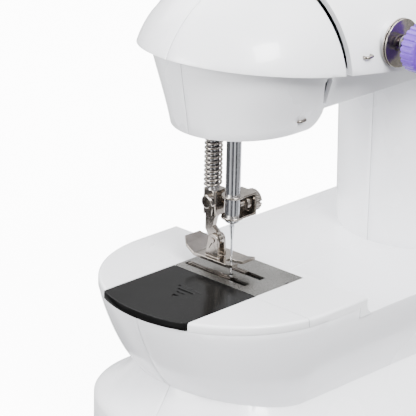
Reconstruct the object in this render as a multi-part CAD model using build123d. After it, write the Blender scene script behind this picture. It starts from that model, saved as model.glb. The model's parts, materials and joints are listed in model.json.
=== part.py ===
from build123d import *
import os
from math import atan2, cos, degrees, pi, radians, sin, sqrt

# A small white home sewing machine. Millimetres, +Z up, +X towards the handwheel, -Y towards the user.
# The origin is the middle of the footprint, at table level.
# Distances called reach, left or right are measured along X from the needle's axis.

# ---- overall sizes ----
length = 214.0            # bobbin cover lip to bobbin winder pin tip
depth = 122.0             # foot of the base, front to back
bed_height = 80.0         # table to bed top
throat_height = 73.0      # bed top to arm underside
arm_top = 127.0           # bed top to arm top
wall = 2.2                # moulded casing wall
seam_gap = 0.3            # parting line between casing halves
fit_gap = 0.3             # clearance round a moving or loosely fitted piece
shaft_gap = 0.05          # radial running clearance of a shaft in its bush
huge = 400.0              # reaches past the whole machine

# ---- base ----
foot_height = 3.0
foot_radius = 6.0
foot_spots = [(-22.0, 34.0), (122.0, 40.0)]
base_plate_thickness = 2.5
nose_reach = 53.0
cover_proud = 0.7
nose_half = 53.2
base_corner = 18.0
plinth_height = 17.0
plinth_reach = 48.0
# share of the hull's height, nose inset and side inset from the bed outline, for the bowl
bowl_profile = [(1.0, 0.2, 0.2), (0.889, 2.7, 1.3), (0.75, 7.2, 3.6), (0.601, 13.5, 7.3),
                (0.508, 19.2, 10.2), (0.4, 27.5, 13.8)]
# share of the hull's height, nose inset and side inset from the plinth outline, for the flare
flare_profile = [(0.24, 0.0, 0.0), (0.3, 2.3, 6.0), (0.355, 6.5, 12.8), (0.437, 10.9, 19.2),
                 (0.508, 14.2, 23.5), (0.585, 18.0, 28.1)]
deck_thickness = 3.6
deck_edge_radius = 1.2
shelf_drop = 7.7          # bed top down to the shelf in front of the column
step_reach = 22.1
step_fillet = 4.0
step_feather = 0.4
groove_reach = 10.8       # parting line of the front left deck piece
deck_split_y = -15.0

# ---- battery bay ----
bay_left = 12.0
bay_right = 76.0
bay_front = -26.0
bay_rear = 34.0
bay_height = 17.0
bay_wall = 1.5
door_thickness = 2.2
door_rib_height = 0.6

# ---- needle plate and bobbin cover ----
plate_left = 9.4
plate_right = 18.4
plate_half = 22.5
plate_thickness = 1.2
plate_corner = 1.5
plate_gap = 0.1
plate_ledge = 1.0
cover_thickness = 2.0
cover_lip_depth = 3.3
cover_lip_thickness = 2.5
cover_seat_reach = 44.2
mark_depth = 0.4
mark_spacing = 2.6
slot_width = 3.4
slot_reaches = [-3.5, 5.5]
slot_front = -12.3
slot_rear = 21.0
needle_hole_radius = 1.1

# ---- head, arm and column ----
case_gap = 1.0
handwheel_width = 12.0
handwheel_radius = 28.0
handwheel_grips = 30
grip_radius = 1.6
winder_pin_length = 8.0
winder_pin_radius = 2.9
arm_half = 45.5
arm_mid = 86.2            # bed top to the arm's widest level
dome_centre = 15.0
dome_reach = 56.1
rim_height = 98.5         # bed top to the dome's rim at its tip
rim_slope = 0.14
arm_end_radius = 7.0
skirt_centre = 5.0
# height above the bed, nose reach from the skirt's centre, half depth
skirt_profile = [(65.0, 30.6, 27.0), (73.0, 32.0, 29.5), (86.0, 34.3, 35.0), (100.0, 36.6, 40.0)]
skirt_end_inset = 6.6
pod_right = 19.0
pod_corner = 7.0
column_left = 83.7
column_reach = 44.0
column_foot_half = 41.0
column_top_half = 44.0
column_corner = 9.0
slot_foot_width = 3.2     # take-up slot at the rim
slot_head_width = 5.0     # and over the top
slot_end_y = -13.0
low_slot_top_width = 4.4
low_slot_foot_width = 1.6
low_slot_foot = 75.0      # bed top to the thread slot's lower end
low_slot_lean = 3.2       # and how far right of the head slot it ends
post_radius = 4.0
screw_radius = 1.4
screw_head_radius = 2.8
screw_head_height = 2.0
screw_reach = 10.0
# along X from the needle, and up from the bed
screw_spots = [(-14.0, 108.0), (60.0, 83.0), (121.0, 55.0), (40.0, -18.0), (120.0, -18.0)]

# ---- needle drive ----
crank_radius = 11.0
needle_below = 12.0       # needle travel below its rest place
needle_above = 10.0
link_length = 20.0
link_near = 4.8
link_thickness = 3.0
link_width = 7.0
crank_pin_radius = 2.5
crank_disc_radius = 14.5
crank_disc_thickness = 4.0
shaft_radius = 4.0
bush_wall = 2.0
bush_length = 6.0
front_bush_reach = 24.0
needle_bar_radius = 3.05
needle_bar_bottom = 22.5
needle_bar_top = 112.0
stud_height = 86.0
block_height = 5.0
block_half = 5.0
needle_shank_radius = 1.0
needle_shank_top = 34.0
needle_blade_radius = 0.45
needle_cone_top = 20.5
needle_cone_bottom = 15.0
needle_tip = -2.5
lever_pivot_y = -5.7
lever_pivot_z = 85.4
lever_tip_y = -22.0
lever_tip_z = 126.0
lever_thickness = 2.0
lever_width = 4.0
lever_pin_radius = 2.0

# ---- needle clamp ----
clamp_bottom = 24.2
clamp_top = 34.0
clamp_sheet = 1.0
clamp_ring = 4.6
clamp_reach = 9.6
clamp_half = 4.2
clamp_screw_height = 29.0
clamp_head_radius = 4.6
clamp_head_length = 3.2
clamp_nut_radius = 3.2
clamp_nut_left = 5.6
clamp_nut_right = 8.0

# ---- presser ----
presser_y = 11.0
presser_bar_radius = 2.5
presser_bar_bottom = 24.0
presser_bar_top = 110.0
presser_lift = 4.5        # sole above the plate at rest, raised
cloth_thickness = 0.8     # left under the lowered sole
spring_radius = 3.8
spring_wire = 0.55
spring_bottom = 34.3
spring_turns = 17
shank_left = -3.3
shank_right = 3.9
shank_front = 6.9
shank_rear = 13.7
shank_bottom = 23.5
shank_top = 34.0
neck_left = -1.2
neck_right = 1.1
pin_y = 8.2
pin_height = 12.8
pin_radius = 1.0
eye_radius = 2.9
ear_thickness = 1.1
ear_radius = 2.7
sole_thickness = 1.3
sole_left = -4.7
sole_right = 8.7
sole_front = -5.0
sole_flat_front = -1.0
sole_flat_rear = 16.5
sole_rear = 23.8
sole_heel_rise = 4.6
sole_toe_rise = 0.8
shank_screw_y = 9.4
shank_screw_height = 29.5
shank_screw_depth = 0.7
shank_screw_radius = 2.9

# ---- presser lifter ----
lifter_reach = 8.0
lifter_height = 75.0
lifter_cam_y = 21.2
lifter_cam_width = 4.0
lifter_radius = 8.0
lifter_axle_radius = 2.5
lifter_arm = 4.2
lifter_handle_length = 26.0
lifter_handle_width = 7.0
lifter_handle_thickness = 3.5
lifter_handle_y = 34.2
follower_gap = 0.4
follower_width = 1.0
follower_height = 1.5
bracket_bottom = 84.9
bracket_top = 88.4
bracket_gap = 1.0
bracket_arm = 3.5

# ---- chassis ----
chassis_sheet = 3.0
spine_y = 16.0
spine_thickness = 4.0
spine_bottom = 92.0
spine_top = 112.0
guide_left = -6.0
guide_right = 4.2
low_guide_bottom = 68.0
low_guide_top = 71.0
high_guide_bottom = 99.0
high_guide_top = 101.5
frame_reach = 102.0
frame_front = -28.0
frame_rear = 20.0
frame_level = 24.0        # table to the underside of the bed frame
frame_sheet = 2.5

# ---- lower drive ----
lower_shaft_z = 45.0
lower_shaft_radius = 3.0
pulley_radius = 9.0
pulley_width = 6.0
pulley_teeth = 24
belt_thickness = 1.4
timing_reach = 92.0
hook_reach = -20.5
hook_radius = 19.7
hook_top = 73.6
hook_bottom = 61.0
hook_inner = 17.4
hook_floor = 1.6
hook_shaft_bottom = 36.0
module_size = 1.0
pinion_teeth = 12
face_teeth = 24
pinion_bottom = 56.0
pinion_height = 2.4
tooth_root = 1.4
tooth_tip = 0.8
gear_disc_thickness = 3.0
case_radius = 17.0
case_well = 11.2
bobbin_radius = 10.2
bobbin_hub = 4.0
bobbin_bore = 3.05
bobbin_height = 11.0
bobbin_flange = 1.0
feed_travel = 1.2
feed_drop = 1.8
teeth_proud = 0.5
teeth_front = -3.6
feed_row_width = 2.6
feed_pitch = 1.3
feed_sheet = 1.5
feed_plate_drop = 4.1
feed_left = -4.8
feed_right = 11.6
carriage_left = 7.5
carriage_right = 12.5
carriage_bottom = 66.0
carriage_top = 72.0
feed_rod_radius = 2.0
feed_rod_z = 69.0
cam_radius = 5.5
fork_inner = 8.2
fork_outer = 11.2

# ---- motor ----
motor_reach = 105.0
motor_length = 24.0
motor_radius = 12.0
motor_y = -16.0
motor_z = 118.0
motor_shaft_radius = 1.25
motor_pulley_radius = 4.0
drive_pulley_radius = 17.0
drive_reach = 131.0
drive_width = 4.0

# ---- thread path, spool pin ----
tension_reach = 42.5
tension_height = 98.6
tension_boss_radius = 7.0
tension_face_y = -45.8
disc_radius = 9.75
disc_thickness = 0.7
dial_radius = 9.5
dial_grips = 24
dial_front_y = -60.8
dial_rear_y = -54.6
tension_stud_radius = 1.8
tension_spring_radius = 3.4
tension_spring_wire = 0.4
wire_radius = 0.6
guide_span = 4.0
guide_rise = 2.4
upper_guide_reach = 26.0
upper_guide_height = 96.0
lower_guide_reach = 7.0
lower_guide_height = 70.5
spool_reach = 110.0
spool_y = 27.0
spool_radius = 2.5
spool_top = 121.5         # bed top to the sleeve's top
spool_bottom = 82.0
spool_cap_radius = 4.2
spool_cap_height = 3.5
sleeve_radius = 4.6
sleeve_bottom = 88.0

# ---- switches and jacks ----
button_height = 13.5
button_radius = 7.1
button_flange = 8.6
button_travel = 1.8
button_reaches = {"power_button": 57.5, "speed_button": 82.5}
board_y = -51.5
board_thickness = 1.6
jack_y = 18.0
power_jack_z = 92.0
pedal_jack_z = 108.0
jack_length = 12.0
power_jack_radius = 4.5
power_jack_bore = 2.75
power_jack_pin = 0.65
pedal_jack_radius = 3.8
pedal_jack_bore = 1.8
jack_depth = 9.0

# ---- derived places ----
left_end = -length / 2
right_end = length / 2
needle_x = left_end + cover_proud + nose_reach
bed_top = bed_height
base_bottom = foot_height + base_plate_thickness
case_right = right_end - winder_pin_length - handwheel_width - case_gap
hull_right = case_right + 2.0
deck_bottom = bed_top - deck_thickness
hull_height = deck_bottom - base_bottom
plinth_top = base_bottom + flare_profile[0][0] * hull_height
shelf_top = bed_top - shelf_drop
step_x = needle_x + step_reach
step_end = step_x + step_fillet
toe_left = step_x - step_fillet
arm_bottom = bed_top + throat_height
foot_half = depth / 2
crank_rise = needle_below - crank_radius
crank_y = sqrt(crank_radius ** 2 - crank_rise ** 2)
shaft_z = bed_top + stud_height + sqrt(link_length ** 2 - crank_y ** 2) - crank_rise
crank_left = link_near + link_thickness + fit_gap
hook_x = needle_x + hook_reach
timing_x = needle_x + timing_reach
drive_x = needle_x + drive_reach
frame_x = needle_x + frame_reach
sole_bottom = bed_top + presser_lift
presser_travel = presser_lift - teeth_proud - cloth_thickness
nodes = {}                # every node's solids, by name


# ---- shape helpers ----
def block(x0, x1, y0, y1, z0, z1):
    """A box from its two corners."""
    return Pos((x0 + x1) / 2, (y0 + y1) / 2, (z0 + z1) / 2) * Box(abs(x1 - x0), abs(y1 - y0), abs(z1 - z0))


def rod_z(x, y, z0, z1, radius):
    """An upright cylinder."""
    return Pos(x, y, (z0 + z1) / 2) * Cylinder(radius, abs(z1 - z0))


def rod_x(x0, x1, y, z, radius):
    """A cylinder along X."""
    return Pos((x0 + x1) / 2, y, z) * Rot(0, 90, 0) * Cylinder(radius, abs(x1 - x0))


def rod_y(x, y0, y1, z, radius):
    """A cylinder along Y."""
    return Pos(x, (y0 + y1) / 2, z) * Rot(90, 0, 0) * Cylinder(radius, abs(y1 - y0))


def prism(plane, points, thickness):
    """A polygon on a plane, given thickness along the plane's normal."""
    return extrude(plane * make_face(Polyline(*points, close=True)), thickness)


def plan(centre_x, reach, half, right, corner, z):
    """A D-shaped outline: an elliptical nose to the left and rounded corners to the right."""
    nose = EllipticalCenterArc((centre_x, 0), reach, half, start_angle=90, arc_size=180)
    front = Line((centre_x, -half), (right - corner, -half))
    front_corner = RadiusArc((right - corner, -half), (right, corner - half), -corner)
    end = Line((right, corner - half), (right, half - corner))
    rear_corner = RadiusArc((right, half - corner), (right - corner, half), -corner)
    rear = Line((right - corner, half), (centre_x, half))
    return Pos(0, 0, z) * make_face([nose, front, front_corner, end, rear_corner, rear])


def halves(solid):
    """Part a casing at the Y = 0 seam into its front and rear halves."""
    gap = seam_gap / 2
    front = solid & block(-huge, huge, -huge, -gap, -huge, huge)
    rear = solid & block(-huge, huge, gap, huge, -huge, huge)
    return front, rear


def screw_rods(radius, y0, y1, spots):
    """One rod along Y at each screw place."""
    return [rod_y(needle_x + x, y0, y1, bed_top + z, radius) for x, z in spots]


# ---- casing shapes, each drawn once for the outside and once inset for the hollow ----
def hull(inset):
    """The hourglass body under the bed: a bowl on a flared foot and an upright plinth."""
    bowl = [
        plan(needle_x, nose_reach - nose - inset, nose_half - side - inset, hull_right - side / 2 - inset,
             base_corner - inset, base_bottom + share * hull_height)
        for share, nose, side in bowl_profile
    ]
    flare = [
        plan(needle_x, plinth_reach - nose - inset, foot_half - side - inset, hull_right - side / 4 - inset,
             base_corner - inset, base_bottom + share * hull_height)
        for share, nose, side in flare_profile
    ]
    foot = plan(needle_x, plinth_reach - inset, foot_half - inset, hull_right - inset,
                base_corner - inset, base_bottom)
    plinth = extrude(foot, plinth_top - base_bottom)
    return loft(bowl) + loft(flare) + plinth


def arm_shape(inset):
    """The dome and arm above the rim: a capsule stretched to an elliptical section."""
    half = arm_half - inset
    stretch_x = (dome_reach - inset) / half
    stretch_z = (arm_top - arm_mid - inset) / half
    straight = (case_right - inset - needle_x - dome_centre) / stretch_x
    bar = Rot(0, 90, 0) * Pos(0, 0, straight / 2) * Cylinder(half, straight)
    bar = fillet(bar.edges().sort_by(Axis.X)[-1:], (arm_end_radius - inset / 2) / stretch_x)
    capsule = scale(bar + Sphere(half), (stretch_x, 1, stretch_z))
    capsule = Pos(needle_x + dome_centre, 0, bed_top + arm_mid) * capsule
    tip = needle_x + dome_centre - dome_reach
    rim = Plane(origin=(tip, 0, bed_top + rim_height + inset), x_dir=(1, 0, -rim_slope), z_dir=(rim_slope, 0, 1))
    return split(capsule, bisect_by=rim, keep=Keep.TOP)


def skirt_shape(inset):
    """The band under the rim, with the pod round the needle and presser bars at its left end."""
    pod_floor = bed_top + skirt_profile[0][0] + inset
    sections = [
        plan(needle_x + skirt_centre, reach - inset, half - inset, case_right - skirt_end_inset - inset,
             column_corner, max(bed_top + height, pod_floor))
        for height, reach, half in skirt_profile
    ]
    pod_edge = needle_x + pod_right - inset
    under = block(pod_edge, huge, -huge, huge, 0, arm_bottom + inset)
    corner = block(pod_edge - pod_corner, pod_edge + 1, -huge, huge, 0, pod_floor + pod_corner)
    corner -= rod_y(pod_edge - pod_corner, -huge, huge, pod_floor + pod_corner, pod_corner)
    return loft(sections) - under - corner


def column_shape(inset, foot_z):
    """The column between the base and the arm."""
    sections = [
        plan(needle_x + column_left + column_reach, column_reach - inset, half - inset,
             case_right - inset, column_corner - inset, z)
        for z, half in [(foot_z, column_foot_half), (bed_top + arm_mid, column_top_half)]
    ]
    return loft(sections)


def tension_axis_rod(y0, y1, radius):
    """A rod on the tension unit's axis."""
    return rod_y(needle_x + tension_reach, y0, y1, bed_top + tension_height, radius)


# ---- base ----
def make_base():
    """The two halves of the hull, open under the deck and closed under the shelf."""
    outer = hull(0)
    inner = hull(wall) - block(toe_left - wall, huge, -huge, huge, shelf_top - wall, huge)
    shell = outer - inner - block(toe_left, huge, -huge, huge, shelf_top, huge)
    shell -= column_shape(wall, shelf_top - 3 * wall)
    spots = [spot for spot in screw_spots if spot[1] < 0]
    for post in screw_rods(post_radius, -huge, huge, spots):
        shell += post & outer
    shell = cut_screws(shell, spots)
    for reach in button_reaches.values():
        shell -= rod_y(needle_x + reach, -huge, 0, button_height, button_radius + fit_gap)
    nodes["base_front"], nodes["base_rear"] = halves(shell)


def cut_screws(shell, spots):
    """Screw bores with counterbored heads from the rear."""
    for bore in screw_rods(screw_radius, -screw_reach, huge, spots):
        shell -= bore
    for well in screw_rods(screw_head_radius + fit_gap, screw_reach, huge, spots):
        shell -= well
    return shell


def step_cutter():
    """Everything to the right of the deck's stepped end: a rounded top edge over a hollow curve."""
    lip = deck_edge_radius / 2
    brow = (step_x - lip, bed_top)
    face_top = (step_x, bed_top - lip)
    face_foot = (step_x, shelf_top + step_feather + step_fillet)
    toe = (step_end, shelf_top + step_feather)
    rest = Polyline(toe, (step_end, 0), (huge, 0), (huge, huge), (step_x - lip, huge), brow)
    edges = [TangentArc(brow, face_top, tangent=(1, 0)), Line(face_top, face_foot),
             TangentArc(face_foot, toe, tangent=(0, -1)), rest]
    return extrude(Plane.XZ * make_face(edges), huge, both=True)


def make_deck():
    """The bed's top: a plate with a stepped right end, and its separate front left piece."""
    outline = plan(needle_x, nose_reach, nose_half, hull_right, base_corner, shelf_top)
    deck = extrude(outline, shelf_drop)
    deck = fillet(deck.faces().sort_by(Axis.Z)[-1].edges(), deck_edge_radius)
    deck -= step_cutter()
    deck -= block(-huge, toe_left, -huge, huge, 0, deck_bottom)
    plate_x0 = needle_x - plate_left - plate_gap
    plate_x1 = needle_x + plate_right + plate_gap
    plate_y = plate_half + plate_gap
    deck -= block(plate_x0, plate_x1, -plate_y, plate_y, bed_top - plate_thickness, huge)
    inner_half = plate_half - plate_ledge
    seat_x = needle_x - cover_seat_reach
    deck -= block(seat_x, plate_x1 - plate_ledge, -inner_half, inner_half, 0, huge)
    cover_half = plate_half + fit_gap
    deck -= block(-huge, plate_x0 + plate_gap, -cover_half, cover_half, bed_top - cover_thickness - plate_gap, huge)
    deck -= block(-huge, seat_x, -cover_half, cover_half, 0, huge)
    groove_x = needle_x - groove_reach
    corner = block(-huge, groove_x - seam_gap / 2, -huge, deck_split_y, 0, huge)
    nodes["nose_deck"] = deck & corner
    nodes["bed_deck"] = deck - block(-huge, groove_x + seam_gap / 2, -huge, deck_split_y, 0, huge)


def make_needle_plate():
    """The steel plate with its two feed slots and needle hole."""
    x0 = needle_x - plate_left
    x1 = needle_x + plate_right
    plate = block(x0, x1, -plate_half, plate_half, bed_top - plate_thickness, bed_top)
    plate = fillet(plate.edges().filter_by(Axis.Z), plate_corner)
    for reach in slot_reaches:
        middle = needle_x + reach
        plate -= block(middle - slot_width / 2, middle + slot_width / 2, slot_front, slot_rear, 0, huge)
    plate -= rod_z(needle_x, 0, 0, huge, needle_hole_radius)
    notch_x = needle_x + plate_right / 2
    plate -= block(notch_x - 1, notch_x + 1, -plate_half, 1 - plate_half, 0, huge)
    nodes["needle_plate"] = plate


def make_bobbin_cover():
    """The black slide over the bobbin, with a lip over the nose and a moulded arrow."""
    outline = plan(needle_x, nose_reach + cover_proud, nose_half + cover_proud, hull_right, base_corner, bed_top)
    inside = plan(needle_x, nose_reach + cover_proud - cover_lip_thickness,
                  nose_half + cover_proud - cover_lip_thickness, hull_right, base_corner, bed_top)
    lip = extrude(outline - inside, -cover_lip_depth)
    cover = extrude(outline, -cover_thickness) + lip
    cover &= block(-huge, needle_x - plate_left - plate_gap, -plate_half, plate_half, 0, huge)
    cover -= block(needle_x - cover_seat_reach + fit_gap, huge, -huge, huge, 0, bed_top - cover_thickness)
    floor = bed_top - mark_depth
    first = hook_x - mark_spacing
    for step in range(3):
        x = first - step * mark_spacing
        reach = (3 - step) * mark_spacing / 1.3
        cover -= block(x - 0.5, x + 0.5, -reach, reach, floor, huge)
    tip = first - 4.2 * mark_spacing
    base = first - 3 * mark_spacing
    cover -= prism(Plane.XY.offset(floor), [(tip, 0), (base, -1.6), (base, 1.6)], huge)
    nodes["bobbin_cover"] = cover


def make_base_plate():
    """The underside with the battery bay moulded in, its sliding door, and the feet."""
    reach = plinth_reach
    plate = extrude(plan(needle_x, reach, foot_half, hull_right, base_corner, foot_height), base_plate_thickness)
    x0 = needle_x + bay_left
    x1 = needle_x + bay_right
    bay = block(x0 - bay_wall, x1 + bay_wall, bay_front - bay_wall, bay_rear + bay_wall,
                base_bottom, base_bottom + bay_height)
    plate += bay
    bay_top = base_bottom + bay_height - bay_wall
    plate -= block(x0, x1, bay_front, bay_rear, 0, bay_top)
    plate -= block(x0, x1, bay_front, huge, 0, base_bottom)
    door_top = foot_height + door_thickness
    door = block(x0 + fit_gap, x1 - fit_gap, bay_front + fit_gap, foot_half, foot_height, door_top)
    for rib in range(3):
        y = foot_half - 8 - 4 * rib
        door -= block(x0 + bay_left, x1 - bay_left, y, y + 1.5, 0, foot_height + door_rib_height)
    nodes["battery_door"] = door
    posts = [(bay_left - 40, -20), (bay_left - 40, 20), (bay_right + 22, -20), (bay_right + 22, 20)]
    for x, y in posts:
        plate += rod_z(needle_x + x, y, base_bottom, frame_level, post_radius)
    nodes["base_plate"] = plate
    nodes["rubber_feet"] = [
        rod_z(needle_x + x, side * y, 0, foot_height, foot_radius)
        for x, y in foot_spots for side in (-1, 1)
    ]


# ---- arm and column casing ----
def make_case():
    """The two halves of the column, arm and head casing."""
    outer = arm_shape(0) + skirt_shape(0) + column_shape(0, shelf_top)
    inner = arm_shape(wall) + skirt_shape(wall) + column_shape(wall, shelf_top)
    case = outer - inner
    spots = [spot for spot in screw_spots if spot[1] > 0]
    for post in screw_rods(post_radius, -huge, huge, spots):
        case += post & outer
    case = cut_screws(case, spots)
    case += tension_axis_rod(tension_face_y, -arm_half + 3 * wall, tension_boss_radius)
    case -= tension_axis_rod(-huge, 0, tension_stud_radius)
    slot_x = needle_x + dome_centre
    low = bed_top + arm_mid
    high = bed_top + arm_top
    outline = [(slot_x - slot_foot_width / 2, low), (slot_x + slot_foot_width / 2, low),
               (slot_x + slot_head_width / 2, high), (slot_x - slot_head_width / 2, high)]
    case -= prism(Plane.XZ.offset(-slot_end_y), outline, huge)
    foot = bed_top + low_slot_foot
    foot_x = slot_x + low_slot_lean
    outline = [(foot_x - low_slot_foot_width / 2, foot), (foot_x + low_slot_foot_width / 2, foot),
               (slot_x + low_slot_top_width / 2, low), (slot_x - low_slot_top_width / 2, low)]
    case -= prism(Plane.XZ.offset(-slot_end_y), outline, huge)
    case -= rod_z(needle_x, 0, 0, low, needle_bar_radius + 3 * fit_gap)
    case -= rod_z(needle_x, presser_y, 0, low, spring_radius + 2 * fit_gap)
    case -= rod_x(case_right - 3 * wall, huge, 0, shaft_z, shaft_radius + 4 * fit_gap)
    lifter_x = needle_x + lifter_reach
    case -= rod_y(lifter_x, spine_y, lifter_handle_y + 3, bed_top + lifter_height, lifter_axle_radius + fit_gap)
    case -= rod_x(case_right - 2 * wall, huge, jack_y, power_jack_z, power_jack_radius)
    case -= rod_x(case_right - 2 * wall, huge, jack_y, pedal_jack_z, pedal_jack_radius)
    spool_x = needle_x + spool_reach
    case += rod_z(spool_x, spool_y, bed_top + sleeve_bottom, bed_top + spool_top, sleeve_radius)
    case -= rod_z(spool_x, spool_y, bed_top + skirt_profile[1][0] + wall + fit_gap, huge, spool_radius + shaft_gap)
    for guide in nodes["thread_guides"]:
        case -= guide
    nodes["arm_front"], nodes["arm_rear"] = halves(case)


def make_screws():
    """Five alike screws hold the casing halves together."""
    screws = []
    for x, z in screw_spots:
        shank = rod_y(needle_x + x, fit_gap - screw_reach, screw_reach, bed_top + z, screw_radius)
        head_end = screw_reach + screw_head_height
        head = rod_y(needle_x + x, screw_reach, head_end, bed_top + z, screw_head_radius)
        slot = block(needle_x + x - huge, needle_x + x + huge, head_end - 0.8, head_end,
                     bed_top + z - 0.4, bed_top + z + 0.4)
        screws.append(shank + head - slot)
    nodes["case_screws"] = screws


def staple(x, y, z, lean):
    """A bent wire guide with both ends in the casing, its bow standing off along -Y."""
    half = guide_span / 2
    path = FilletPolyline((-half, 6, 0), (-half, -guide_rise, 0), (half, -guide_rise, 0), (half, 6, 0), radius=1.2)
    wire = sweep(Plane(origin=path @ 0, z_dir=path % 0) * Circle(wire_radius), path=path)
    return Pos(x, y, z) * Rot(lean, 0, 0) * wire


def make_thread_guides():
    """Wire guides on the arm's face and on the skirt."""
    upper = staple(needle_x + upper_guide_reach, -arm_half + 2.0, bed_top + upper_guide_height, 0)
    low_y = -skirt_profile[0][2]
    lower = staple(needle_x + lower_guide_reach, low_y, bed_top + lower_guide_height, 0)
    nodes["thread_guides"] = [upper, lower]


# ---- chassis ----
def bush_at(x, z, radius):
    """A flanged sleeve for a shaft along X."""
    outer = radius + bush_wall
    sleeve = rod_x(x, x + bush_length, 0, z, outer) + rod_x(x - 1, x, 0, z, outer + 1)
    return sleeve - rod_x(x - 2, x + bush_length + 1, 0, z, radius + shaft_gap)


def make_chassis():
    """The metal frame: spine, guide post, shaft plate and the tall plate that carries the motor."""
    x0 = needle_x + guide_left
    x1 = needle_x + guide_right
    spine_rear = spine_y + spine_thickness
    frame = block(x0, x1, spine_y, spine_rear, bed_top + low_guide_bottom, bed_top + spine_top)
    frame += block(x0, x1, guide_left, spine_rear, bed_top + low_guide_bottom, bed_top + low_guide_top)
    frame += block(x0, x1, guide_left, spine_rear, bed_top + high_guide_bottom, bed_top + high_guide_top)
    frame += block(x0, frame_x, spine_y, spine_rear, bed_top + spine_bottom, bed_top + spine_top)
    plate_x = needle_x + front_bush_reach
    bush_outer = shaft_radius + bush_wall
    frame += block(plate_x, plate_x + chassis_sheet, lever_pivot_y - 6, spine_rear, bed_top + lever_pivot_z - 6,
                   bed_top + spine_top)
    lever_x = needle_x + dome_centre
    pivot_z = bed_top + lever_pivot_z
    frame += rod_x(lever_x + lever_thickness / 2 + fit_gap, plate_x, lever_pivot_y, pivot_z, 2 * lever_pin_radius)
    frame += rod_x(lever_x - lever_thickness, plate_x, lever_pivot_y, pivot_z, lever_pin_radius)
    frame += block(frame_x, frame_x + chassis_sheet, frame_front, frame_rear, frame_level + frame_sheet,
                   bed_top + spine_top + 3)
    lifter_x = needle_x + lifter_reach
    lifter_z = bed_top + lifter_height
    frame += block(x1 - 1, lifter_x + lifter_arm, spine_y, spine_rear, lifter_z - lifter_arm, lifter_z + lifter_arm)
    frame -= rod_y(lifter_x, 0, huge, lifter_z, lifter_axle_radius + shaft_gap)
    frame -= rod_z(needle_x, 0, 0, huge, needle_bar_radius + shaft_gap)
    frame -= rod_z(needle_x, presser_y, 0, huge, presser_bar_radius + shaft_gap)
    frame -= rod_x(plate_x - 1, huge, 0, shaft_z, bush_outer)
    frame -= rod_x(frame_x - 1, huge, 0, lower_shaft_z, lower_shaft_radius + bush_wall)
    frame -= rod_x(frame_x - 1, huge, motor_y, motor_z, motor_radius / 2)
    nodes["chassis"] = frame
    nodes["shaft_bushes"] = [bush_at(plate_x, shaft_z, shaft_radius), bush_at(frame_x, shaft_z, shaft_radius)]
    nodes["lower_bushes"] = [bush_at(frame_x, lower_shaft_z, lower_shaft_radius),
                             bush_at(plate_x, lower_shaft_z, lower_shaft_radius)]


def make_bed_frame():
    """The frame under the bed, with the hook's bearing and the feed rod's brackets."""
    top = frame_level + frame_sheet
    half = 30.0
    frame = block(hook_x - 12, frame_x + chassis_sheet, -half, half, frame_level, top)
    plate_x = needle_x + front_bush_reach
    frame += block(plate_x, plate_x + chassis_sheet, -10, 10, top, lower_shaft_z + 9)
    frame += rod_z(hook_x, 0, top, pinion_bottom - 4, lower_shaft_radius + 1.4)
    x0 = needle_x + carriage_left - 1
    x1 = needle_x + carriage_right + 1
    for side in (-1, 1):
        frame += block(x0, x1, side * half, side * (half - 3), top, feed_rod_z + 4)
    frame -= rod_y(needle_x + (carriage_left + carriage_right) / 2, -huge, huge, feed_rod_z, feed_rod_radius)
    frame -= rod_x(plate_x - 1, plate_x + 9, 0, lower_shaft_z, lower_shaft_radius + bush_wall)
    frame -= rod_z(hook_x, 0, hook_shaft_bottom - 1, huge, lower_shaft_radius + shaft_gap)
    nodes["bed_frame"] = frame
    nodes["feed_rod"] = rod_y(needle_x + (carriage_left + carriage_right) / 2, -half, half, feed_rod_z, feed_rod_radius)


# ---- upper drive ----
def make_main_shaft():
    """The main shaft with its crank, pulleys and handwheel."""
    x0 = needle_x + crank_left
    wheel_left = case_right + case_gap
    wheel_right = wheel_left + handwheel_width
    nodes["main_shaft"] = rod_x(x0 + crank_disc_thickness, wheel_right - 2, 0, shaft_z, shaft_radius)
    disc = rod_x(x0, x0 + crank_disc_thickness, 0, shaft_z, crank_disc_radius)
    pin_z = shaft_z + crank_rise
    disc -= rod_x(x0 - 1, x0 + 9, -crank_y - 4, shaft_z - 6, 9)
    disc += rod_x(needle_x + link_near - fit_gap, x0, crank_y, pin_z, crank_pin_radius)
    nodes["crank_disc"] = disc
    wheel = rod_x(wheel_left, wheel_right, 0, shaft_z, handwheel_radius)
    wheel = fillet(wheel.edges(), 2.5)
    wheel -= rod_x(wheel_right - 4, wheel_right + 1, 0, shaft_z, handwheel_radius - 6)
    wheel += rod_x(wheel_right - 4, wheel_right - 1, 0, shaft_z, 9)
    for grip in range(handwheel_grips):
        turn = 2 * pi * grip / handwheel_grips
        reach = handwheel_radius + grip_radius / 2
        wheel -= rod_x(wheel_left - 1, wheel_right + 1, reach * cos(turn), shaft_z + reach * sin(turn), grip_radius)
    wheel += rod_x(wheel_right - 2, right_end, 0, shaft_z, winder_pin_radius)
    wheel -= rod_x(wheel_left - 1, wheel_right - 2, 0, shaft_z, shaft_radius)
    nodes["handwheel"] = wheel
    nodes["upper_pulley"] = toothed_pulley(timing_x, shaft_z, shaft_radius)
    pulley = rod_x(drive_x, drive_x + drive_width, 0, shaft_z, drive_pulley_radius)
    nodes["drive_pulley"] = pulley - rod_x(drive_x - 1, drive_x + 9, 0, shaft_z, shaft_radius)


def toothed_pulley(x, z, bore):
    """A belt pulley with shallow tooth grooves and a bore."""
    pulley = rod_x(x, x + pulley_width, 0, z, pulley_radius)
    for tooth in range(pulley_teeth):
        turn = 2 * pi * tooth / pulley_teeth
        pulley -= rod_x(x - 1, x + pulley_width + 1, pulley_radius * cos(turn), z + pulley_radius * sin(turn), 0.7)
    return pulley - rod_x(x - 1, x + pulley_width + 1, 0, z, bore)


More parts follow.
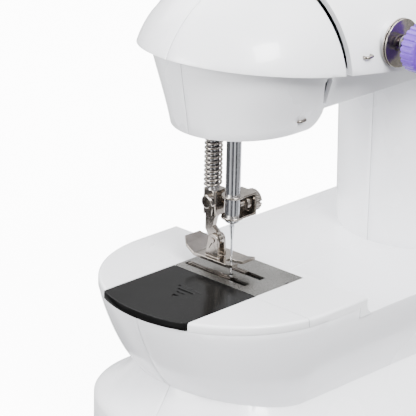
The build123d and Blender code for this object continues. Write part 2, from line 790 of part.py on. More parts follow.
def make_link():
    """The connecting link from the crank pin down to the needle bar block."""
    x0 = needle_x + link_near
    pin_z = shaft_z + crank_rise
    low_z = bed_top + stud_height
    eye = link_width / 2
    lean = degrees(atan2(crank_y, pin_z - low_z))
    middle = Pos(x0 + link_thickness / 2, crank_y / 2, (pin_z + low_z) / 2) * Rot(-lean, 0, 0)
    link = middle * Box(link_thickness, link_width - 2, link_length)
    link += rod_x(x0, x0 + link_thickness, crank_y, pin_z, eye)
    link += rod_x(x0, x0 + link_thickness, 0, low_z, eye)
    link -= rod_x(x0 - 1, x0 + 9, crank_y, pin_z, crank_pin_radius + shaft_gap)
    link -= rod_x(x0 - 1, x0 + 9, 0, low_z, 1.5)
    nodes["connecting_link"] = link


def belt_loop(x, width, upper, lower):
    """A flat belt round two wheels, each given as (y, z, radius), clear of both by the fit gap."""
    loops = []
    for grow in (fit_gap + belt_thickness, fit_gap):
        edges = [Pos(y, z) * Circle(radius + grow) for y, z, radius in (upper, lower)]
        loops.append(make_hull(edges[0].edges() + edges[1].edges()))
    return extrude(Plane(origin=(x, 0, 0), x_dir=(0, 1, 0), z_dir=(1, 0, 0)) * (loops[0] - loops[1]), width)


def make_belts_and_motor():
    """The timing belt down the column, the drive belt and the motor."""
    nodes["timing_belt"] = belt_loop(timing_x, pulley_width, (0, shaft_z, pulley_radius),
                                     (0, lower_shaft_z, pulley_radius))
    nodes["drive_belt"] = belt_loop(drive_x, drive_width, (0, shaft_z, drive_pulley_radius),
                                    (motor_y, motor_z, motor_pulley_radius))
    x0 = needle_x + motor_reach
    x1 = x0 + motor_length
    can = rod_x(x0, x1, motor_y, motor_z, motor_radius)
    can = fillet(can.edges(), 1.5)
    can += rod_x(x0 - chassis_sheet, x0, motor_y, motor_z, motor_radius / 2)
    can -= rod_x(x1 - 6, x1 + 1, motor_y, motor_z, motor_shaft_radius + shaft_gap)
    nodes["motor"] = can
    shaft = rod_x(x1 - 5, drive_x + drive_width + 0.5, motor_y, motor_z, motor_shaft_radius)
    shaft += rod_x(drive_x, drive_x + drive_width, motor_y, motor_z, motor_pulley_radius)
    nodes["motor_pulley"] = shaft


# ---- needle bar ----
def make_needle_bar():
    """The needle bar, its driving block, the needle and the clamp."""
    bar = rod_z(needle_x, 0, bed_top + needle_bar_bottom, bed_top + needle_bar_top, needle_bar_radius)
    bar = chamfer(bar.edges(), 0.5)
    bar -= rod_z(needle_x, 0, 0, bed_top + needle_shank_top, needle_shank_radius + shaft_gap)
    nodes["needle_bar"] = bar
    z0 = bed_top + stud_height - block_height / 2
    z1 = z0 + block_height
    x1 = needle_x + link_near - fit_gap
    collar = block(needle_x - block_half, x1, -block_half, block_half, z0, z1)
    nodes["needle_block"] = collar - rod_z(needle_x, 0, 0, huge, needle_bar_radius)
    tip = bed_top + needle_tip
    profile = [(0, tip), (needle_blade_radius, tip + 3), (needle_blade_radius, bed_top + needle_cone_bottom),
               (needle_shank_radius, bed_top + needle_cone_top), (needle_shank_radius, bed_top + needle_shank_top),
               (0, bed_top + needle_shank_top)]
    needle = revolve(Plane.XZ * make_face(Polyline(*profile, close=True)), Axis.Z)
    needle -= Pos(0, 0, tip + 4.5) * Box(huge, 0.3, 1.2)
    nodes["needle"] = Pos(needle_x, 0, 0) * needle
    bracket = clamp_plate(bed_top + clamp_bottom) + clamp_plate(bed_top + clamp_top - clamp_sheet)
    right = needle_x + clamp_reach
    bracket += block(right - clamp_sheet, right, -clamp_half, clamp_half, bed_top + clamp_bottom, bed_top + clamp_top)
    screw_z = bed_top + clamp_screw_height
    bracket -= rod_z(needle_x, 0, 0, huge, needle_bar_radius)
    bracket -= rod_x(needle_x, huge, 0, screw_z, 1.6)
    nodes["needle_clamp"] = bracket
    screw = rod_x(needle_x + needle_bar_radius, right, 0, screw_z, 1.6)
    head = rod_x(right, right + clamp_head_length, 0, screw_z, clamp_head_radius)
    head = chamfer(head.edges(), 0.5)
    for grip in range(20):
        turn = 2 * pi * grip / 20
        head -= rod_x(right - 1, huge, clamp_head_radius * cos(turn), screw_z + clamp_head_radius * sin(turn), 0.45)
    head -= block(right + clamp_head_length - 1.2, huge, -huge, huge, screw_z - 0.6, screw_z + 0.6)
    nut = rod_x(needle_x + clamp_nut_left, needle_x + clamp_nut_right, 0, screw_z, clamp_nut_radius)
    nodes["clamp_screw"] = screw + head + nut


def clamp_plate(z):
    """One leaf of the needle clamp: a ring round the bar with a tongue to the screw."""
    leaf = rod_z(needle_x, 0, z, z + clamp_sheet, clamp_ring)
    return leaf + block(needle_x, needle_x + clamp_reach, -clamp_half, clamp_half, z, z + clamp_sheet)


def make_take_up():
    """The take-up lever that swings in the head's slot."""
    x0 = needle_x + dome_centre - lever_thickness / 2
    x1 = x0 + lever_thickness
    foot = (lever_pivot_y, bed_top + lever_pivot_z)
    tip = (lever_tip_y, bed_top + lever_tip_z)
    span = sqrt((tip[0] - foot[0]) ** 2 + (tip[1] - foot[1]) ** 2)
    lean = degrees(atan2(foot[0] - tip[0], tip[1] - foot[1]))
    middle = Pos((x0 + x1) / 2, (foot[0] + tip[0]) / 2, (foot[1] + tip[1]) / 2)
    lever = middle * Rot(lean, 0, 0) * Box(lever_thickness, lever_width, span)
    lever += rod_x(x0, x1, *foot, 2 * lever_pin_radius) + rod_x(x0, x1, *tip, lever_width / 2)
    lever -= rod_x(x0 - 1, x1 + 1, *foot, lever_pin_radius + shaft_gap)
    lever -= rod_x(x0 - 1, x1 + 1, *tip, lever_width / 4)
    nodes["take_up_lever"] = lever


# ---- presser ----
def make_presser():
    """The presser bar, its spring, bracket, shank and hinged sole."""
    y = presser_y
    bar = rod_z(needle_x, y, bed_top + presser_bar_bottom, bed_top + presser_bar_top, presser_bar_radius)
    nodes["presser_bar"] = chamfer(bar.edges(), 0.4)
    coil_height = low_guide_bottom - spring_bottom - 2 * spring_wire
    path = Helix(coil_height / spring_turns, coil_height, spring_radius - spring_wire)
    coil = sweep(Plane(origin=path @ 0, z_dir=path % 0) * Circle(spring_wire), path=path, is_frenet=True)
    nodes["presser_spring"] = Pos(needle_x, y, bed_top + spring_bottom + spring_wire) * coil
    low = bed_top + bracket_bottom
    top = bed_top + bracket_top
    toe_left = needle_x + lifter_reach - follower_width / 2
    toe_right = toe_left + follower_width
    side = needle_x + guide_left - bracket_gap
    rear = lifter_cam_y + lifter_cam_width
    bracket = block(side - bracket_arm, needle_x + shank_right, y - 4, y + 4, low, top)
    bracket += block(side - bracket_arm, side, y - 4, rear, low, top)
    bracket += block(side - bracket_arm, toe_right, lifter_cam_y, rear, low, top)
    bracket += block(toe_left, toe_right, lifter_cam_y, rear, low - follower_height, low)
    nodes["presser_bracket"] = bracket - rod_z(needle_x, y, 0, huge, presser_bar_radius)
    make_shank()
    make_sole()


def make_shank():
    """The low shank clamped on the presser bar, with its neck down to the hinge eye."""
    x0 = needle_x + shank_left
    x1 = needle_x + shank_right
    shank = block(x0, x1, shank_front, shank_rear, bed_top + shank_bottom, bed_top + shank_top)
    shank = fillet(shank.edges().filter_by(Axis.Z), 1.6)
    n0 = needle_x + neck_left
    n1 = needle_x + neck_right
    pin_z = bed_top + pin_height
    front = pin_y - eye_radius
    side = Plane(origin=(n0, 0, 0), x_dir=(0, 1, 0), z_dir=(1, 0, 0))
    top = bed_top + shank_bottom
    neck = [(front, pin_z), (front + 1.8, pin_z + 3.2), (shank_front + 2.6, pin_z + 5.4),
            (shank_front + 1.8, top - 1.8), (shank_front + 0.4, top), (shank_rear, top),
            (shank_rear, pin_z + 3.4), (pin_y + eye_radius, pin_z)]
    shank += prism(side, neck, n1 - n0)
    shank += rod_x(n0, n1, pin_y, pin_z, eye_radius)
    shank -= rod_x(n0 - 1, n1 + 1, pin_y, pin_z, pin_radius + shaft_gap)
    shank -= rod_z(needle_x, presser_y, bed_top + presser_bar_bottom, huge, presser_bar_radius)
    screw_z = bed_top + shank_screw_height
    shank -= rod_x(x0 - 1, x0 + shank_screw_depth, shank_screw_y, screw_z, 1.5)
    nodes["foot_shank"] = shank
    screw = rod_x(x0, x0 + shank_screw_depth, shank_screw_y, screw_z, 1.5)
    head = rod_x(x0 - 2.2, x0, shank_screw_y, screw_z, shank_screw_radius)
    head = fillet(head.edges().sort_by(Axis.X)[:1], 0.8)
    head -= block(x0 - 3, x0 - 1.2, shank_screw_y - 1.6, shank_screw_y + 1.6, screw_z - 0.35, screw_z + 0.35)
    head -= block(x0 - 3, x0 - 1.2, shank_screw_y - 0.35, shank_screw_y + 0.35, screw_z - 1.6, screw_z + 1.6)
    nodes["shank_screw"] = screw + head


def make_sole():
    """The hinged sole: a steel sheet with a turned up heel, a needle slot and two ears, and its pin."""
    side = Plane(origin=(needle_x + sole_left, 0, 0), x_dir=(0, 1, 0), z_dir=(1, 0, 0))
    z = sole_bottom
    thick = sole_thickness
    under = [(sole_front, z + sole_toe_rise), (sole_flat_front, z), (sole_flat_rear, z),
             (sole_rear, z + sole_heel_rise)]
    over = [(y, height + thick) for y, height in reversed(under)]
    sole = prism(side, under + over, sole_right - sole_left)
    heel = sole.edges().filter_by(Axis.Z).sort_by(Axis.Y)[-2:]
    corner = 3.0
    for edge in heel:
        x = edge.center().X
        inward = 1 if x < needle_x else -1
        cut = [(x, sole_rear - corner), (x, sole_rear + 1), (x + inward * corner, sole_rear + 1)]
        sole -= prism(Plane.XY, cut, huge)
    sole -= block(needle_x - 1.4, needle_x + 1.4, sole_front - 1, 2.2, 0, huge)
    pin_z = bed_top + pin_height
    gap = fit_gap / 2
    ears = [(needle_x + neck_left - gap - ear_thickness, needle_x + neck_left - gap),
            (needle_x + neck_right + gap, needle_x + neck_right + gap + ear_thickness)]
    for e0, e1 in ears:
        outline = [(pin_y - 3.2, z + thick), (pin_y + 4.0, z + thick), (pin_y + ear_radius, pin_z),
                   (pin_y - ear_radius, pin_z)]
        sole += prism(Plane(origin=(e0, 0, 0), x_dir=(0, 1, 0), z_dir=(1, 0, 0)), outline, e1 - e0)
        sole += rod_x(e0, e1, pin_y, pin_z, ear_radius)
    sole -= rod_x(ears[0][0] - 1, ears[1][1] + 1, pin_y, pin_z, pin_radius)
    nodes["foot_sole"] = sole
    nodes["foot_pin"] = rod_x(ears[0][0] - 0.4, ears[1][1] + 0.4, pin_y, pin_z, pin_radius)


def make_lifter():
    """The presser lifter: a cam inside, an axle through the casing and a lever behind."""
    x = needle_x + lifter_reach
    z = bed_top + lifter_height
    steps = 6
    points = []
    for step in range(steps + 1):
        turn = pi / 2 * step / steps
        radius = lifter_radius - presser_travel * step / steps
        points.append((-radius * sin(turn), radius * cos(turn)))
    curve = Spline(*points)
    closing = Polyline(points[-1], (-2, -2.5), (2.5, -2.5), (2.5, lifter_radius - 1.5), points[0])
    cam = extrude(Plane.XZ * make_face([curve, closing]), -lifter_cam_width)
    lifter = Pos(x, lifter_cam_y, z) * cam
    lifter += rod_y(x, spine_y - 0.4, lifter_handle_y, z, lifter_axle_radius)
    rear = lifter_handle_y + lifter_handle_thickness
    half = lifter_handle_width / 2
    lifter += rod_y(x, lifter_handle_y, rear, z, half)
    lifter += block(x, x + lifter_handle_length, lifter_handle_y, rear, z - half + 0.5, z + half - 0.5)
    lifter += rod_y(x + lifter_handle_length, lifter_handle_y, rear, z, half)
    nodes["lifter_lever"] = lifter


# ---- lower drive ----
def make_hook():
    """The rotary hook with its pinion, the bobbin case and the bobbin."""
    hook = rod_z(hook_x, 0, hook_bottom, hook_top, hook_radius)
    hook -= rod_z(hook_x, 0, hook_bottom + hook_floor, huge, hook_inner)
    hook -= Pos(hook_x, 0, hook_top) * Rot(0, 0, 30) * block(0, huge, 0, 9, -5, 5)
    hook += rod_z(hook_x, 0, hook_shaft_bottom, hook_bottom, lower_shaft_radius)
    root = pinion_teeth * module_size / 2 - tooth_root
    tip = pinion_teeth * module_size / 2 + tooth_tip
    top = pinion_bottom + pinion_height
    hook += rod_z(hook_x, 0, pinion_bottom, top, root)
    tooth = [(0, -0.75), (root, -0.75), (tip, -0.3), (tip, 0.3), (root, 0.75), (0, 0.75)]
    for index in range(pinion_teeth):
        turn = 360 * index / pinion_teeth
        hook += Pos(hook_x, 0, pinion_bottom) * Rot(0, 0, turn) * prism(Plane.XY, tooth, pinion_height)
    nodes["hook"] = hook
    floor = hook_bottom + hook_floor + fit_gap
    case_top = hook_top
    holder = rod_z(hook_x, 0, floor, case_top, case_radius)
    holder -= rod_z(hook_x, 0, floor + 1.2, huge, case_well)
    holder += rod_z(hook_x, 0, floor + 1.2, case_top - 1, bobbin_bore - shaft_gap)
    nodes["bobbin_case"] = holder
    z0 = floor + 1.5
    z1 = z0 + bobbin_height
    spool = rod_z(hook_x, 0, z0, z1, bobbin_hub)
    spool += rod_z(hook_x, 0, z0, z0 + bobbin_flange, bobbin_radius)
    spool += rod_z(hook_x, 0, z1 - bobbin_flange, z1, bobbin_radius)
    for index in range(4):
        turn = pi / 4 + pi / 2 * index
        spool -= rod_z(hook_x + 7 * cos(turn), 7 * sin(turn), 0, huge, 1.4)
    nodes["bobbin"] = spool - rod_z(hook_x, 0, 0, huge, bobbin_bore)


def make_lower_shaft():
    """The lower shaft with its belt pulley, feed cam and the face gear that turns the hook."""
    z = lower_shaft_z
    gear_right = hook_x + pinion_teeth * module_size / 2 - tooth_root + 0.5 + tooth_root + tooth_tip
    tooth_left = gear_right - tooth_root - tooth_tip
    gear_end = gear_right + gear_disc_thickness
    shaft = rod_x(gear_end, frame_x + bush_length + 3, 0, z, lower_shaft_radius)
    x0 = needle_x + carriage_left
    x1 = needle_x + carriage_right
    shaft += rod_x(x0, x1, feed_travel, z, cam_radius)
    nodes["lower_shaft"] = shaft
    nodes["lower_pulley"] = toothed_pulley(timing_x, z, lower_shaft_radius)
    pitch_radius = face_teeth * module_size / 2
    gear = rod_x(gear_right, gear_end, 0, z, pitch_radius + 2.5)
    tooth = [(gear_right, -0.75), (tooth_left, -0.3), (tooth_left, 0.3), (gear_right, 0.75)]
    bar = prism(Plane.XY.offset(pitch_radius - 2), tooth, 4)
    for index in range(face_teeth):
        turn = 360 * (index + 0.5) / face_teeth
        gear += Pos(0, 0, z) * Rot(turn, 0, 0) * bar
    nodes["face_gear"] = gear


def make_feed():
    """The feed dog with two rows of teeth, and the carriage that slides on the feed rod."""
    z0 = bed_top - feed_plate_drop
    z1 = z0 + feed_sheet
    top = bed_top + teeth_proud
    margin = feed_travel + fit_gap
    y0 = slot_front + margin
    y1 = slot_rear - margin
    x0 = needle_x + feed_left
    x1 = needle_x + feed_right
    dog = block(x0, x1, y0, y0 + 2.6, z0, z1) + block(x0, x1, y1 - 2.6, y1, z0, z1)
    for reach in slot_reaches:
        middle = needle_x + reach
        half = feed_row_width / 2
        row = block(middle - half, middle + half, y0, y1, z0, z1)
        row += block(middle - half, middle + half, teeth_front, y1, z0, top)
        count = int((y1 - teeth_front) / feed_pitch)
        side = Plane(origin=(middle - half - 1, 0, 0), x_dir=(0, 1, 0), z_dir=(1, 0, 0))
        for index in range(count):
            y = teeth_front + (index + 0.15) * feed_pitch
            notch = [(y, top + 0.1), (y + feed_pitch * 0.8, top + 0.1), (y + feed_pitch * 0.6, top - 0.7)]
            row -= prism(side, notch, feed_row_width + 2)
        dog += row
    carriage_x = needle_x + (carriage_left + carriage_right) / 2
    carriage = block(needle_x + carriage_left, needle_x + carriage_right, -16, 22, carriage_bottom, carriage_top)
    for inner, outer in ((-fork_inner, -fork_outer), (fork_inner, fork_outer)):
        carriage += block(needle_x + carriage_left, needle_x + carriage_right, inner, outer,
                          lower_shaft_z - 3, carriage_bottom)
    carriage -= rod_y(carriage_x, -huge, huge, feed_rod_z, feed_rod_radius + shaft_gap)
    for y in (y0 + 1.3, y1 - 1.3):
        carriage += rod_z(needle_x + feed_right - 1.8, y, carriage_top, z1, 0.9)
        dog -= rod_z(needle_x + feed_right - 1.8, y, 0, huge, 0.9 + shaft_gap)
    nodes["feed_dog"] = dog
    nodes["feed_carriage"] = carriage


# ---- tension, spool pin, switches and jacks ----
def make_tension():
    """The tension stud with two discs, a spring and the ribbed dial."""
    stud_end = -arm_half + 3 * wall
    nodes["tension_stud"] = tension_axis_rod(dial_front_y + 1, stud_end + 3, tension_stud_radius)
    discs = []
    for index in range(2):
        y = tension_face_y - index * (disc_thickness + 0.5)
        disc = tension_axis_rod(y, y - disc_thickness, disc_radius)
        discs.append(disc - tension_axis_rod(-huge, 0, tension_stud_radius))
    nodes["tension_discs"] = discs
    disc_end = tension_face_y - 2 * disc_thickness - 0.5
    room = disc_end - dial_rear_y
    coil_height = room - 2 * tension_spring_wire
    path = Helix(coil_height / 3, coil_height, tension_spring_radius - tension_spring_wire)
    coil = sweep(Plane(origin=path @ 0, z_dir=path % 0) * Circle(tension_spring_wire), path=path, is_frenet=True)
    place = Pos(needle_x + tension_reach, disc_end - tension_spring_wire, bed_top + tension_height)
    nodes["tension_spring"] = place * Rot(90, 0, 0) * coil
    dial = tension_axis_rod(dial_front_y, dial_rear_y, dial_radius)
    dial = fillet(dial.edges().sort_by(Axis.Y)[:1], 1.5)
    for grip in range(dial_grips):
        turn = 2 * pi * grip / dial_grips
        x = needle_x + tension_reach + dial_radius * cos(turn)
        z = bed_top + tension_height + dial_radius * sin(turn)
        dial -= rod_y(x, dial_front_y - 1, dial_rear_y + 1, z, 0.6)
    nodes["tension_dial"] = dial - tension_axis_rod(dial_front_y + 1 - fit_gap, 0, tension_stud_radius + shaft_gap)


def make_spool_pin():
    """The spool pin that pulls up out of its sleeve."""
    x = needle_x + spool_reach
    pin = rod_z(x, spool_y, bed_top + spool_bottom, bed_top + spool_top + spool_cap_height, spool_radius)
    cap = rod_z(x, spool_y, bed_top + spool_top + fit_gap, bed_top + spool_top + spool_cap_height, spool_cap_radius)
    nodes["spool_pin"] = pin + fillet(cap.edges().sort_by(Axis.Z)[-1:], 1.0)


def make_switches():
    """Two push buttons in the base's front, and the switch board behind them."""
    z = button_height
    board = block(needle_x + 45, needle_x + 95, board_y, board_y + board_thickness, base_bottom, base_bottom + 15)
    for name, reach in button_reaches.items():
        x = needle_x + reach
        face = -foot_half + 0.1
        inside = -foot_half + wall
        button = rod_y(x, face, inside + fit_gap, z, button_radius)
        button = fillet(button.edges().sort_by(Axis.Y)[:1], 0.6)
        flange = rod_y(x, inside + fit_gap, inside + fit_gap + 1, z, button_flange)
        flange &= block(-huge, huge, -huge, 0, base_bottom + fit_gap, huge)
        nodes[name] = button + flange
        board += rod_y(x, board_y - 3, board_y, z, 3)
    nodes["switch_board"] = board


def make_jacks():
    """The low voltage power jack and the foot pedal jack in the column's end."""
    x0 = case_right - jack_length
    power = rod_x(x0, case_right, jack_y, power_jack_z, power_jack_radius)
    power -= rod_x(case_right - jack_depth, case_right + 1, jack_y, power_jack_z, power_jack_bore)
    power += rod_x(case_right - jack_depth, case_right - 1, jack_y, power_jack_z, power_jack_pin)
    nodes["power_jack"] = power
    pedal = rod_x(x0, case_right, jack_y, pedal_jack_z, pedal_jack_radius)
    nodes["pedal_jack"] = pedal - rod_x(case_right - jack_depth, case_right + 1, jack_y, pedal_jack_z, pedal_jack_bore)


def write_nodes():
    """One STEP file per node, under the node's name."""
    os.makedirs("parts", exist_ok=True)
    for name, shape in nodes.items():
        solids = shape if isinstance(shape, list) else shape.solids()
        solids = [solid for piece in solids for solid in piece.solids()]
        shape = solids[0] if len(solids) == 1 else Compound(children=solids)
        export_step(shape, "parts/" + name + ".step")


if __name__ == "__main__":
    make_thread_guides()
    make_base()
    make_deck()
    make_needle_plate()
    make_bobbin_cover()
    make_base_plate()
    make_case()
    make_screws()
    make_chassis()
    make_bed_frame()
    make_main_shaft()
    make_link()
    make_belts_and_motor()
    make_needle_bar()
    make_take_up()
    make_presser()
    make_lifter()
    make_hook()
    make_lower_shaft()
    make_feed()
    make_tension()
    make_spool_pin()
    make_switches()
    make_jacks()
    write_nodes()
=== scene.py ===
import json
from math import cos, radians, sin

import bpy
from mathutils import Matrix, Vector

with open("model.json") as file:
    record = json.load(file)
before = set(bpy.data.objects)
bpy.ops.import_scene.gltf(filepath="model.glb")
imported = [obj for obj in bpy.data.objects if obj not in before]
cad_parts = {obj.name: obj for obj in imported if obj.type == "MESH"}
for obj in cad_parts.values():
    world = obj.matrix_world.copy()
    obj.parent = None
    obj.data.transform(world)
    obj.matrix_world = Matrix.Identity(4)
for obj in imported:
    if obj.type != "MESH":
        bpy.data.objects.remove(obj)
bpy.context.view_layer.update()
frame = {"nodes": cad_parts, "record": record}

nodes = frame["nodes"]

# ---- the view: the machine seen from its front left, slightly from above ----
CAMERA_PLACE = (-0.75601, -0.65808, 0.47433)
CAMERA_TURN = radians(46.3)
CAMERA_TILT = radians(20.83)
CAMERA_ROLL = radians(1.22)
CAMERA_LENS = 225
SENSOR = 36
CLIP_NEAR = 0.01
CLIP_FAR = 20


def add_camera():
    """A long lens, turned and tilted at the machine, with a slight roll."""
    right = Vector((cos(CAMERA_TURN), -sin(CAMERA_TURN), 0))
    up = Vector((sin(CAMERA_TURN) * sin(CAMERA_TILT),
                 cos(CAMERA_TURN) * sin(CAMERA_TILT),
                 cos(CAMERA_TILT)))
    back = right.cross(up)
    rolled_right = cos(CAMERA_ROLL) * right + sin(CAMERA_ROLL) * up
    rolled_up = cos(CAMERA_ROLL) * up - sin(CAMERA_ROLL) * right
    data = bpy.data.cameras.new("camera")
    data.lens = CAMERA_LENS
    data.sensor_width = SENSOR
    data.clip_start = CLIP_NEAR
    data.clip_end = CLIP_FAR
    camera = bpy.data.objects.new("camera", data)
    turn = Matrix((rolled_right, rolled_up, back)).transposed().to_4x4()
    camera.matrix_world = Matrix.Translation(Vector(CAMERA_PLACE)) @ turn
    bpy.context.scene.collection.objects.link(camera)
    bpy.context.scene.camera = camera


# ---- materials ----
NOISE_LOW = 0.3           # a noise value under this takes the first limit
NOISE_HIGH = 0.7          # a noise value over this takes the second
DETAIL = 4.0
ROUND = (1, 1, 1)
LENGTHWISE = (1, 1, 14)   # grain drawn along a bar
CROSSWISE = (12, 1, 12)
TURNED = (14, 1, 1)

# plastic
PLASTIC_INDEX = 1.49
PLASTIC_ROUGH_LOW = 0.85
PLASTIC_ROUGH_HIGH = 1.2
GRAIN_RATIO = 60          # surface grain against broad shading
GRAIN_DETAIL = 2.0
PLASTIC_DEPTH = 0.0002
COAT_ROUGHNESS = 0.08

# metal
METAL_GRAIN = 900
METAL_DETAIL = 3.0
METAL_SHADING = 60
METAL_ROUGH_LOW = 0.7
METAL_ROUGH_HIGH = 1.5
METAL_DEPTH = 0.00005


class Shader:
    """A small builder for procedural node materials in object space."""

    def __init__(self, name):
        self.material = bpy.data.materials.new(name)
        self.material.use_nodes = True
        self.tree = self.material.node_tree
        self.body = self.tree.nodes["Principled BSDF"]
        self.coords = self.tree.nodes.new("ShaderNodeTexCoord").outputs["Object"]
        self.normal = None

    def node(self, kind, **values):
        made = self.tree.nodes.new(kind)
        for key, value in values.items():
            made.inputs[key.replace("_", " ")].default_value = value
        return made

    def link(self, start, end):
        self.tree.links.new(start, end)

    def stretched(self, stretch):
        mapping = self.node("ShaderNodeMapping")
        mapping.inputs["Scale"].default_value = stretch
        self.link(self.coords, mapping.inputs["Vector"])
        return mapping.outputs["Vector"]

    def noise(self, scale, detail=DETAIL, stretch=ROUND):
        made = self.node("ShaderNodeTexNoise", Scale=scale, Detail=detail)
        self.link(self.stretched(stretch), made.inputs["Vector"])
        return made.outputs["Fac"]

    def spread(self, value, low, high):
        """A grey level between two limits."""
        made = self.node("ShaderNodeMapRange")
        made.inputs["From Min"].default_value = NOISE_LOW
        made.inputs["From Max"].default_value = NOISE_HIGH
        made.inputs["To Min"].default_value = low
        made.inputs["To Max"].default_value = high
        self.link(value, made.inputs["Value"])
        return made.outputs["Result"]

    def colour(self, value, dark, light):
        ramp = self.tree.nodes.new("ShaderNodeValToRGB")
        ramp.color_ramp.elements[0].position = NOISE_LOW
        ramp.color_ramp.elements[1].position = NOISE_HIGH
        ramp.color_ramp.elements[0].color = (*dark, 1)
        ramp.color_ramp.elements[1].color = (*light, 1)
        self.link(value, ramp.inputs["Fac"])
        self.link(ramp.outputs["Color"], self.body.inputs["Base Color"])

    def rough(self, value, low, high):
        self.link(self.spread(value, low, high), self.body.inputs["Roughness"])

    def bump(self, value, strength, distance):
        made = self.node("ShaderNodeBump", Strength=strength, Distance=distance)
        self.link(value, made.inputs["Height"])
        if self.normal:
            self.link(self.normal, made.inputs["Normal"])
        self.normal = made.outputs["Normal"]
        self.link(self.normal, self.body.inputs["Normal"])


def plastic(name, dark, light, roughness, scale, coat=0.0, strength=0.04, index=PLASTIC_INDEX):
    """A moulded plastic with a fine grain, and a clear coat where it is polished."""
    made = Shader(name)
    broad = made.noise(scale)
    fine = made.noise(scale * GRAIN_RATIO, detail=GRAIN_DETAIL)
    made.colour(broad, dark, light)
    made.rough(broad, roughness * PLASTIC_ROUGH_LOW, roughness * PLASTIC_ROUGH_HIGH)
    made.bump(fine, strength, PLASTIC_DEPTH)
    made.body.inputs["Coat Weight"].default_value = coat
    made.body.inputs["Coat Roughness"].default_value = COAT_ROUGHNESS
    made.body.inputs["IOR"].default_value = index
    return made.material


def metal(name, dark, light, roughness, stretch, strength=0.12):
    """A metal with its grain stretched along the way it was drawn or ground."""
    made = Shader(name)
    grain = made.noise(METAL_GRAIN, detail=METAL_DETAIL, stretch=stretch)
    broad = made.noise(METAL_SHADING)
    made.colour(broad, dark, light)
    made.rough(grain, roughness * METAL_ROUGH_LOW, roughness * METAL_ROUGH_HIGH)
    made.bump(grain, strength, METAL_DEPTH)
    made.body.inputs["Metallic"].default_value = 1
    return made.material


LOOKS = {
    "white_shell": plastic("white_shell", (0.86, 0.865, 0.90), (0.90, 0.905, 0.93),
        0.26, 9, coat=0.35),
    "white_deck": plastic("white_deck", (0.83, 0.835, 0.86), (0.87, 0.875, 0.895),
        0.30, 11, coat=0.25),
    "black_cover": plastic("black_cover", (0.002, 0.002, 0.002), (0.005, 0.005, 0.005),
        0.16, 30, index=1.17),
    "foot_rubber": plastic("foot_rubber", (0.02, 0.02, 0.02), (0.04, 0.04, 0.04),
        0.7, 60, strength=0.3),
    "purple_dial": plastic("purple_dial", (0.10, 0.03, 0.36), (0.15, 0.05, 0.46),
        0.38, 50),
    "grey_knob": plastic("grey_knob", (0.28, 0.29, 0.31), (0.36, 0.37, 0.39),
        0.45, 60, strength=0.15),
    "nickel": metal("nickel", (0.24, 0.215, 0.19), (0.42, 0.385, 0.35),
        0.17, ROUND),
    "plate_steel": metal("plate_steel", (0.22, 0.215, 0.205), (0.32, 0.315, 0.30),
        0.26, CROSSWISE),
    "dark_steel": metal("dark_steel", (0.22, 0.22, 0.23), (0.36, 0.36, 0.37),
        0.34, ROUND),
    "needle_steel": metal("needle_steel", (0.48, 0.49, 0.52), (0.62, 0.63, 0.66),
        0.16, LENGTHWISE),
    "frame_metal": metal("frame_metal", (0.42, 0.42, 0.43), (0.56, 0.56, 0.57),
        0.45, ROUND, strength=0.4),
    "bush_brass": metal("bush_brass", (0.55, 0.40, 0.16), (0.70, 0.54, 0.26),
        0.28, TURNED),
    "belt_rubber": plastic("belt_rubber", (0.015, 0.015, 0.016), (0.03, 0.03, 0.03),
        0.65, 90, strength=0.35),
    "gear_plastic": plastic("gear_plastic", (0.62, 0.60, 0.52), (0.72, 0.70, 0.62),
        0.42, 70, strength=0.1),
    "bobbin_plastic": plastic("bobbin_plastic", (0.50, 0.54, 0.58), (0.62, 0.66, 0.70),
        0.22, 70, coat=0.3),
    "board_green": plastic("board_green", (0.01, 0.12, 0.05), (0.02, 0.18, 0.08),
        0.4, 120, coat=0.2),
    "jack_black": plastic("jack_black", (0.018, 0.018, 0.02), (0.03, 0.03, 0.034),
        0.4, 80, strength=0.12),
}


def dress_nodes():
    """Every CAD node takes its slot's look."""
    for part in frame["record"]["subparts"]:
        piece = nodes[part["node"]]
        piece.data.materials.clear()
        piece.data.materials.append(LOOKS[part["material_slot"]])


# ---- edges that catch the light ----
SOFT_EDGES = {
    0.00035: ["bed_deck", "nose_deck", "bobbin_cover",
              "base_front", "base_rear", "arm_front", "arm_rear"],
    0.00022: ["foot_shank", "foot_sole", "needle_clamp",
              "clamp_screw", "needle_plate", "tension_discs"],
}
WELD_SHARE = 100          # the bevel's width over the distance that is welded
BEVEL_STEPS = 2
BEVEL_ANGLE = radians(38)


def soften_edges():
    """A small bevel on the edges in view."""
    for width, names in SOFT_EDGES.items():
        for name in names:
            piece = nodes[name]
            weld = piece.modifiers.new("weld", "WELD")
            weld.merge_threshold = width / WELD_SHARE
            bevel = piece.modifiers.new("bevel", "BEVEL")
            bevel.width = width
            bevel.segments = BEVEL_STEPS
            bevel.limit_method = "ANGLE"
            bevel.angle_limit = BEVEL_ANGLE
            bevel.harden_normals = True


# ---- stage ----
SURROUND_LOW = 1.3        # light from under the machine
SURROUND_HIGH = 5.2       # light from overhead
HEIGHT_LOW = 0.3
HEIGHT_HIGH = 0.8
PATCH_SCALE = 2.4
PATCH_DETAIL = 1
PATCH_STRETCH = (1, 1, 0.3)
PATCH_EDGES = (0.44, 0.56)
PATCH_DARK = (0.06, 0.06, 0.065)
FLOOR_HALF = 4.0
FLOOR_DROP = 0.0002       # keeps the floor clear of the feet
FLOOR_GLOW = 9.0
FLOOR_DARK = (0.90, 0.90, 0.905)
FLOOR_LIGHT = (0.93, 0.93, 0.935)
FLOOR_SHADING = 3
FLOOR_WEAR = 5
FLOOR_ROUGH = (0.75, 0.9)
AIM = Vector((0, 0, 0.1))
PANELS = [
    ("key", (-0.5, -1.5, 1.5), 0.7, 84),
    ("side", (-1.8, 0.5, 0.6), 0.9, 52),
    ("back", (0.3, 1.5, 1.4), 1.2, 26),
]


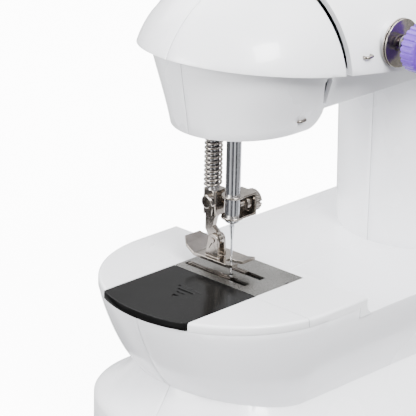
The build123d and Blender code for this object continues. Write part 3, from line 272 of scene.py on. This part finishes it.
def add_surround():
    """Soft light and dark patches, brighter overhead, that give the metal its contrast."""
    world = bpy.data.worlds.new("surround")
    bpy.context.scene.world = world
    world.use_nodes = True
    tree = world.node_tree
    coords = tree.nodes.new("ShaderNodeTexCoord").outputs["Generated"]
    mapping = tree.nodes.new("ShaderNodeMapping")
    mapping.inputs["Scale"].default_value = PATCH_STRETCH
    patches = tree.nodes.new("ShaderNodeTexNoise")
    patches.inputs["Scale"].default_value = PATCH_SCALE
    patches.inputs["Detail"].default_value = PATCH_DETAIL
    ramp = tree.nodes.new("ShaderNodeValToRGB")
    ramp.color_ramp.elements[0].position = PATCH_EDGES[0]
    ramp.color_ramp.elements[1].position = PATCH_EDGES[1]
    ramp.color_ramp.elements[0].color = (*PATCH_DARK, 1)
    ramp.color_ramp.elements[1].color = (1, 1, 1, 1)
    split = tree.nodes.new("ShaderNodeSeparateXYZ")
    height = tree.nodes.new("ShaderNodeMapRange")
    height.inputs["From Min"].default_value = HEIGHT_LOW
    height.inputs["From Max"].default_value = HEIGHT_HIGH
    height.inputs["To Min"].default_value = SURROUND_LOW
    height.inputs["To Max"].default_value = SURROUND_HIGH
    background = tree.nodes["Background"]
    tree.links.new(coords, mapping.inputs["Vector"])
    tree.links.new(mapping.outputs["Vector"], patches.inputs["Vector"])
    tree.links.new(patches.outputs["Fac"], ramp.inputs["Fac"])
    tree.links.new(ramp.outputs["Color"], background.inputs["Color"])
    tree.links.new(coords, split.inputs["Vector"])
    tree.links.new(split.outputs["Z"], height.inputs["Value"])
    tree.links.new(height.outputs["Result"], background.inputs["Strength"])


def add_stage():
    """A seamless pale floor that glows, the surround, and three soft panels."""
    mesh = bpy.data.meshes.new("floor")
    corners = [(-1, -1), (1, -1), (1, 1), (-1, 1)]
    mesh.from_pydata([(x * FLOOR_HALF, y * FLOOR_HALF, 0) for x, y in corners], [], [(0, 1, 2, 3)])
    floor = bpy.data.objects.new("floor", mesh)
    bpy.context.scene.collection.objects.link(floor)
    floor.location.z = -FLOOR_DROP
    made = Shader("floor")
    made.colour(made.noise(FLOOR_SHADING), FLOOR_DARK, FLOOR_LIGHT)
    made.rough(made.noise(FLOOR_WEAR), *FLOOR_ROUGH)
    made.body.inputs["Emission Color"].default_value = (1, 1, 1, 1)
    made.body.inputs["Emission Strength"].default_value = FLOOR_GLOW
    mesh.materials.append(made.material)
    floor.visible_glossy = False
    floor.visible_diffuse = False
    add_surround()
    for name, place, size, power in PANELS:
        data = bpy.data.lights.new(name, "AREA")
        data.size = size
        data.energy = power
        panel = bpy.data.objects.new(name, data)
        panel.location = place
        aim = AIM - Vector(place)
        panel.rotation_euler = aim.to_track_quat("-Z", "Y").to_euler()
        bpy.context.scene.collection.objects.link(panel)


dress_nodes()
soften_edges()
add_stage()
add_camera()
